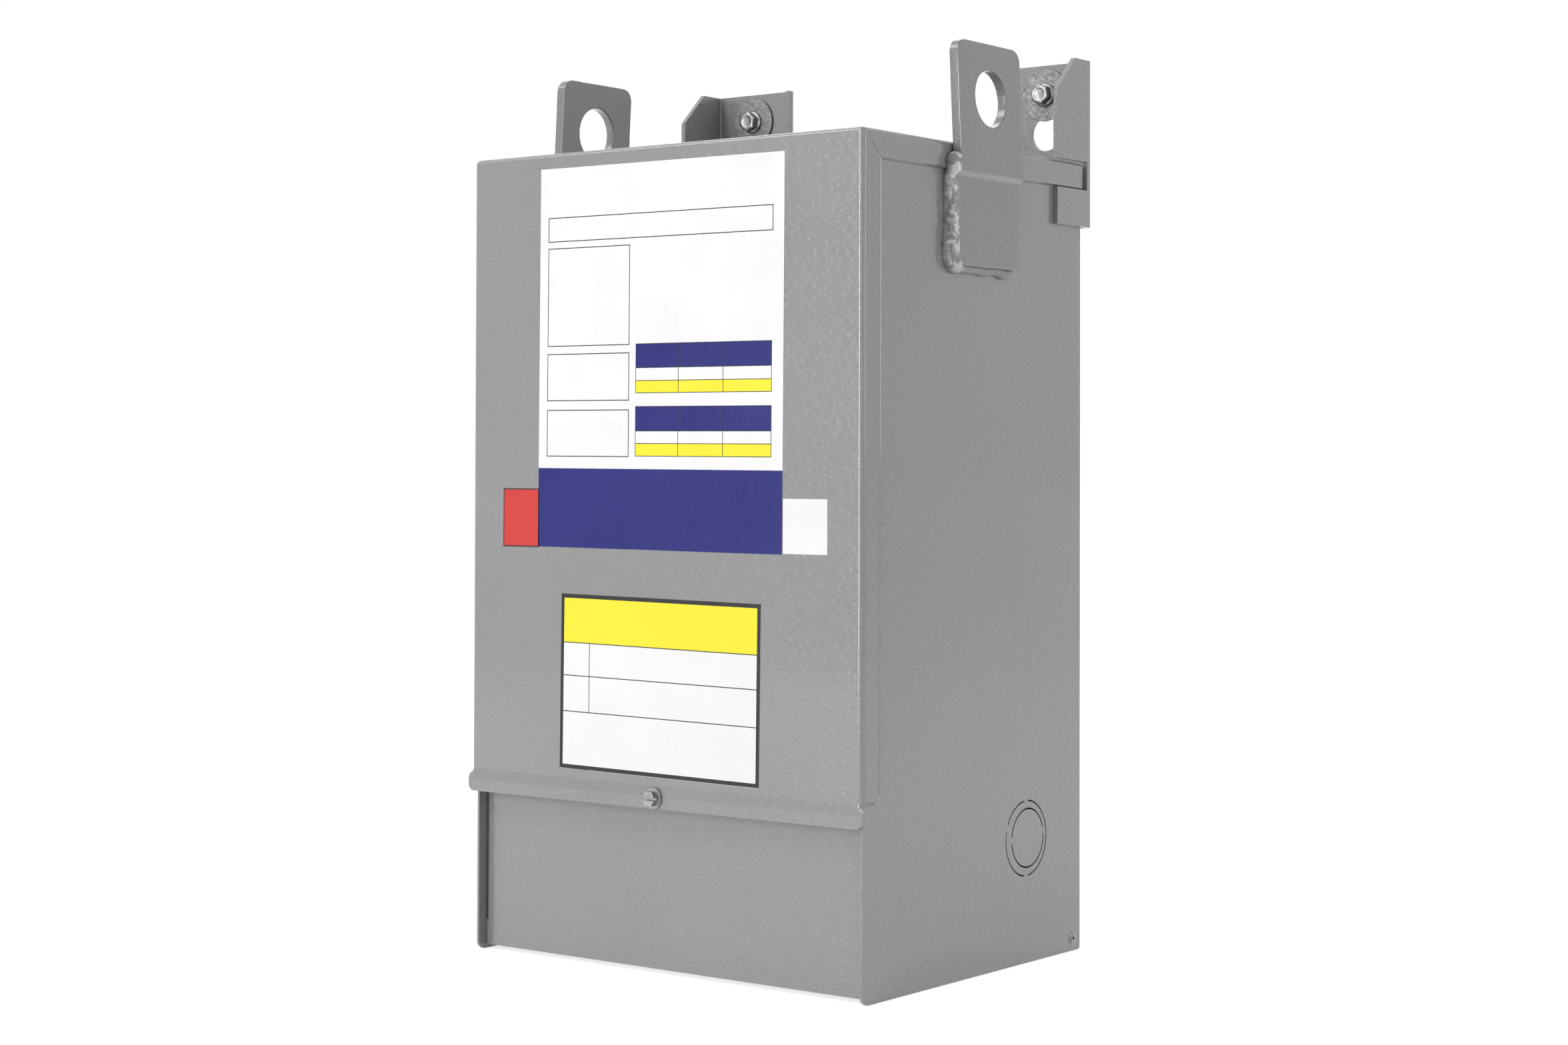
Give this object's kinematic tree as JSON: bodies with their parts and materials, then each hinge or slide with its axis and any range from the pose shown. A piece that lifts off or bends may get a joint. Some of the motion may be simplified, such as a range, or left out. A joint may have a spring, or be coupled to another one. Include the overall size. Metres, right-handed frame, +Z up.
{
  "type": "wall-mounted potted distribution transformer",
  "caption": "Sheet-steel box transformer with a recessed wiring compartment, lifting lugs and keyhole wall brackets; steps a supply voltage up or down.",
  "frame": {"origin": "middle of the overall box in plan, at the foot of the side panels", "axes": "+Z up; the cover faces -Y; the wall brackets' rear faces look along +Y"},
  "size_m": [0.2988, 0.2414, 0.529],
  "materials": {
    "painted_steel": "grey enamel with light orange peel",
    "painted_weld": "lumpy weld bead under grey enamel",
    "zinc_steel": "zinc plated",
    "compound": "dull black",
    "label_film": "semi-gloss film",
    "sticker_film": "semi-gloss film"
  },
  "bodies": {
    "root": {"side_panel_left": "painted_steel", "side_panel_right": "painted_steel", "back_panel": "painted_steel", "bottom_panel": "painted_steel", "front_cover": "painted_steel", "wiring_cover": "painted_steel", "screw_clip": "painted_steel", "cover_screw": "zinc_steel", "potted_core": "compound", "lifting_lug_left": "painted_steel", "lifting_lug_right": "painted_steel", "lug_weld_left": "painted_weld", "lug_weld_right": "painted_weld", "wall_bracket_left": "painted_steel", "wall_bracket_right": "painted_steel", "fender_washer_left": "zinc_steel", "fender_washer_right": "zinc_steel", "wall_bolt_left": "zinc_steel", "wall_bolt_right": "zinc_steel", "knockout_ring_left": "painted_steel", "knockout_ring_right": "painted_steel", "knockout_slug_left": "painted_steel", "knockout_slug_right": "painted_steel", "corner_rivet_left": "painted_steel", "corner_rivet_right": "painted_steel", "large_label": "label_film", "ruled_card": "label_film", "square_tag": "label_film", "upright_sticker": "sticker_film"}
  },
  "joints": []
}
